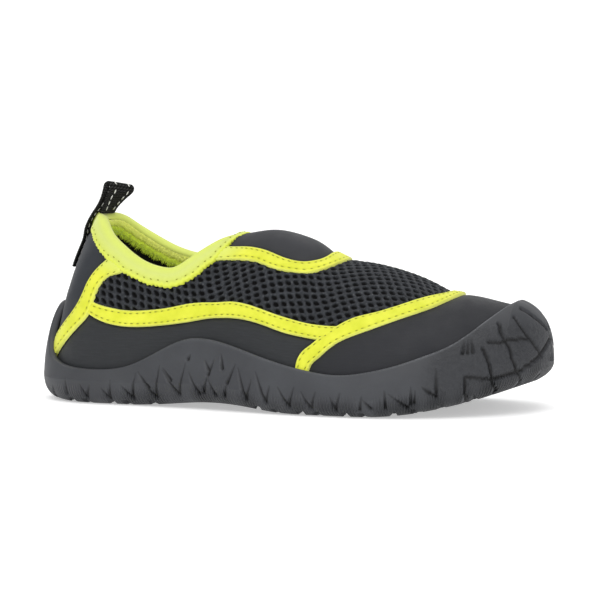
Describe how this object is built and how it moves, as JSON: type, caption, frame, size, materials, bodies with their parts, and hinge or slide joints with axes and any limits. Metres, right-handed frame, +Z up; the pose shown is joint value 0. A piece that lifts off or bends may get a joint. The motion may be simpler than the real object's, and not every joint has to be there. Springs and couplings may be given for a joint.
{
  "type": "water shoe",
  "caption": "Low slip-on water shoe: moulded rubber cup sole with rolled toe bumper, soft hollow upper with mesh side panels, bound stretch collar and heel pull loop.",
  "frame": {"origin": "on the ground, at the middle of the shoe's bounding box in plan", "axes": "+X from heel to toe, +Y to the inner (medial) side of this right shoe, +Z up"},
  "size_m": [0.196, 0.078, 0.0805],
  "materials": {
    "sole_rubber": "satin moulded",
    "upper_fabric": "matte neoprene and spacer mesh",
    "seam_tape": "matte knitted tape",
    "binding_lime": "matte stretch tape",
    "lining_black": "matte brushed",
    "insole_foam": "matte foam",
    "webbing_black": "matte woven",
    "thread": "matte thread"
  },
  "bodies": {
    "root": {"outsole": "sole_rubber", "upper": "upper_fabric", "insole": "insole_foam", "collar_binding": "binding_lime", "pull_loop": "webbing_black"}
  },
  "joints": []
}
